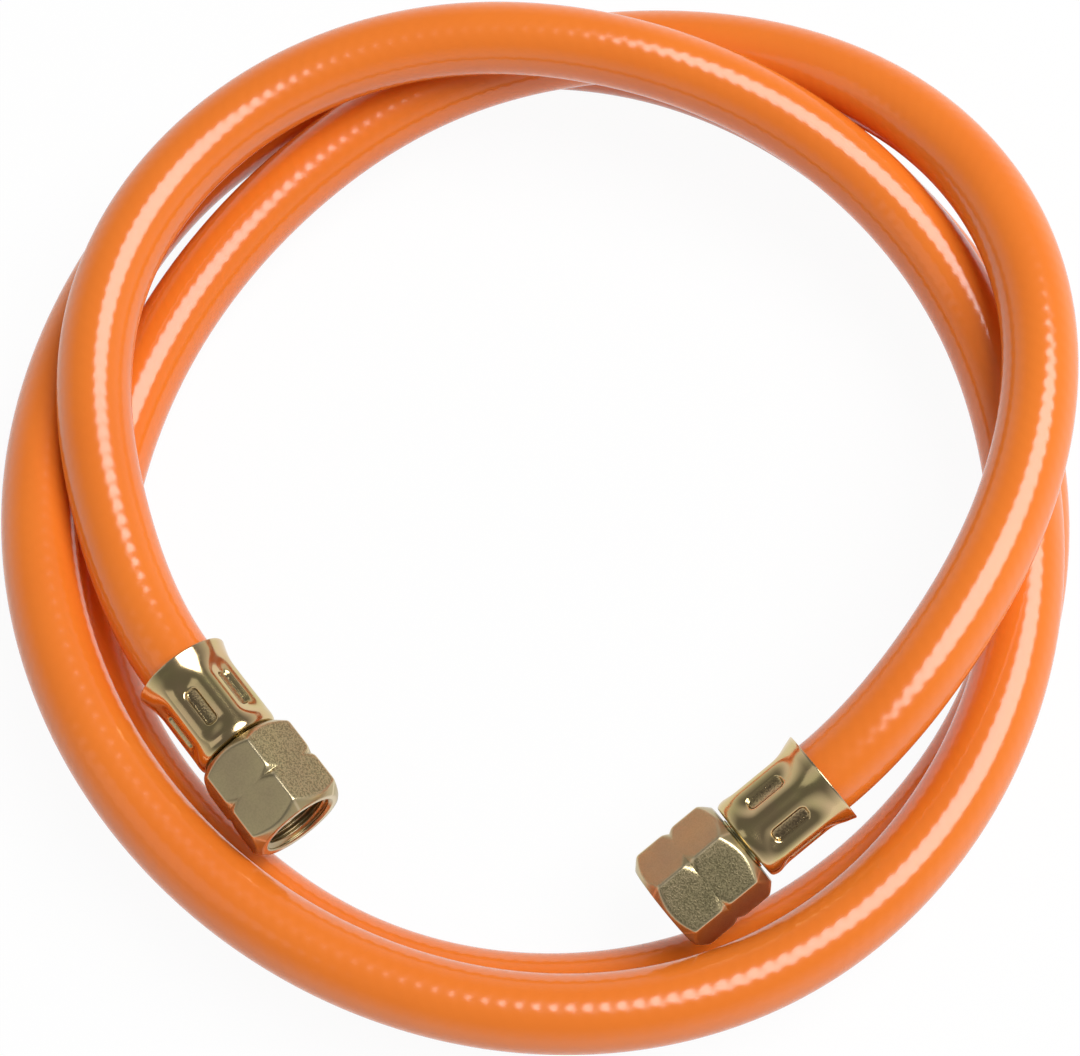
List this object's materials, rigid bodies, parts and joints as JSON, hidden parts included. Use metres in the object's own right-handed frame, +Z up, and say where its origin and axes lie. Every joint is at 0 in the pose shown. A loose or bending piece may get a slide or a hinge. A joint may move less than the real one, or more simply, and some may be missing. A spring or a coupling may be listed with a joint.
{
  "type": "flexible gas hose",
  "caption": "Flexible orange gas hose lying in a loose coil, with a crimped ferrule and a free-turning notched hexagonal union nut on each end.",
  "frame": {"origin": "under the middle of the coil, on the surface it lies on", "axes": "+Z up, out of the plane of the coil; +X the way that end A's union nut opens"},
  "size_m": [0.2012, 0.2004, 0.0403],
  "materials": {
    "hose": "glossy flexible cover with a faint ripple",
    "ferrule": "bright yellow-passivated steel",
    "nipple": "yellow-passivated steel",
    "nut": "satin yellow-passivated steel"
  },
  "bodies": {
    "hose_body": {"hose": "hose", "ferrule_a": "ferrule", "ferrule_b": "ferrule", "nipple_a": "nipple", "nipple_b": "nipple"},
    "nut_a": {"union_nut_a": "nut"},
    "nut_b": {"union_nut_b": "nut"}
  },
  "joints": [
    {"name": "nut_a_turn", "type": "hinge", "parent": "hose_body", "child": "nut_a", "pos_m": [0.01575, -0.07465, 0.02285], "axis": [0.9999, -0.0126, 0.0067], "continuous": true},
    {"name": "nut_b_turn", "type": "hinge", "parent": "hose_body", "child": "nut_b", "pos_m": [0.07321, -0.02734, 0.02201], "axis": [-0.0224, -0.9731, -0.2294], "continuous": true}
  ]
}
